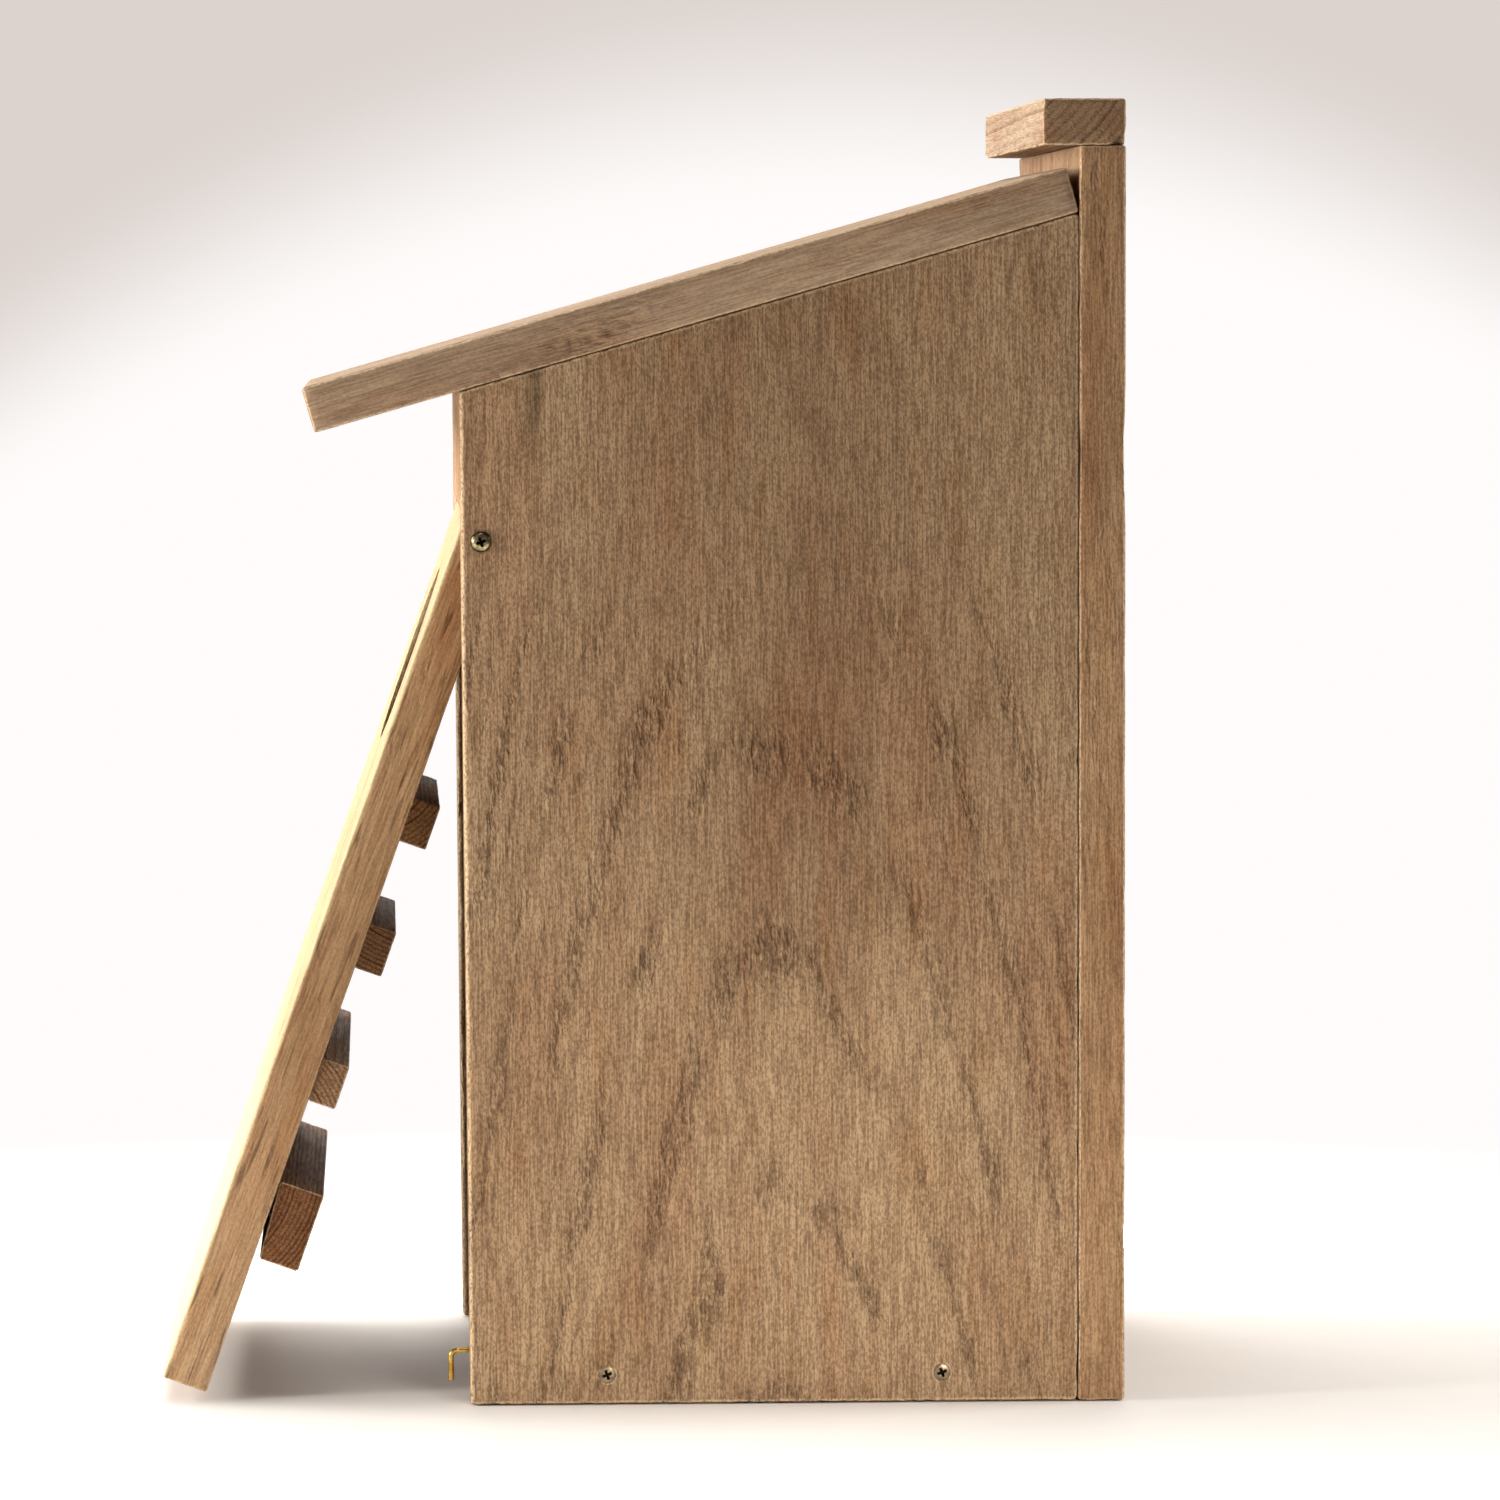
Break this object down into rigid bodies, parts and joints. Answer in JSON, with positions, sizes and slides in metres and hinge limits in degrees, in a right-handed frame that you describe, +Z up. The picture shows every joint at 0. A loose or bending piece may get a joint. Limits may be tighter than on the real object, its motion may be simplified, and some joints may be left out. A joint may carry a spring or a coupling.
{
  "type": "nest box birdhouse",
  "caption": "Tall cedar nest box with a single-slope roof, a raised back board with a top cleat, a swing-out front with an oval entrance and inner ladder rungs, and a turning hook.",
  "frame": {"origin": "centre of the base: mid-width and mid-depth of the box, on the underside of the floor board", "axes": "+Z up, -Y towards the front with the swinging door, +Y towards the post or wall behind, +X towards the side with the turning hook"},
  "size_m": [0.3038, 0.3925, 0.53],
  "materials": {
    "side_cedar": "rough-sawn, bare",
    "back_cedar": "rough-sawn, bare",
    "roof_cedar": "rough-sawn, bare",
    "floor_cedar": "rough-sawn, bare",
    "front_cedar": "planed, bare",
    "cleat_cedar": "planed, bare",
    "door_cedar": "planed, bare",
    "rung_cedar": "sawn, bare",
    "hook_brass": "bright, slightly tarnished",
    "pivot_brass": "antiqued yellow zinc",
    "screw_zinc": "yellow zinc plated",
    "nail_steel": "bright steel"
  },
  "bodies": {
    "house": {"side_right": "side_cedar", "side_left": "side_cedar", "back_board": "back_cedar", "roof_board": "roof_cedar", "floor_board": "floor_cedar", "front_panel": "front_cedar", "top_cleat": "cleat_cedar", "floor_screws_right": "screw_zinc", "floor_screws_left": "screw_zinc", "back_screws_right": "screw_zinc", "back_screws_left": "screw_zinc", "back_floor_screws": "screw_zinc", "roof_screws_right": "screw_zinc", "roof_screws_left": "screw_zinc", "roof_front_screws": "screw_zinc", "cleat_screws": "screw_zinc"},
    "door": {"door_panel": "door_cedar", "rung_1": "rung_cedar", "rung_2": "rung_cedar", "rung_3": "rung_cedar", "rung_4": "rung_cedar", "rung_nails": "nail_steel", "pivot_screw_right": "pivot_brass", "pivot_screw_left": "pivot_brass"},
    "hook": {"lock_hook": "hook_brass"}
  },
  "joints": [
    {"name": "door_swing", "type": "hinge", "parent": "house", "child": "door", "pos_m": [0, -0.128, 0.3512], "axis": [-1, 0, 0], "range_deg": [-19.9, 85]},
    {"name": "hook_turn", "type": "hinge", "parent": "house", "child": "hook", "pos_m": [0.135, -0.1335, 0.0208], "axis": [0, 1, 0], "range_deg": [0, 90]}
  ]
}
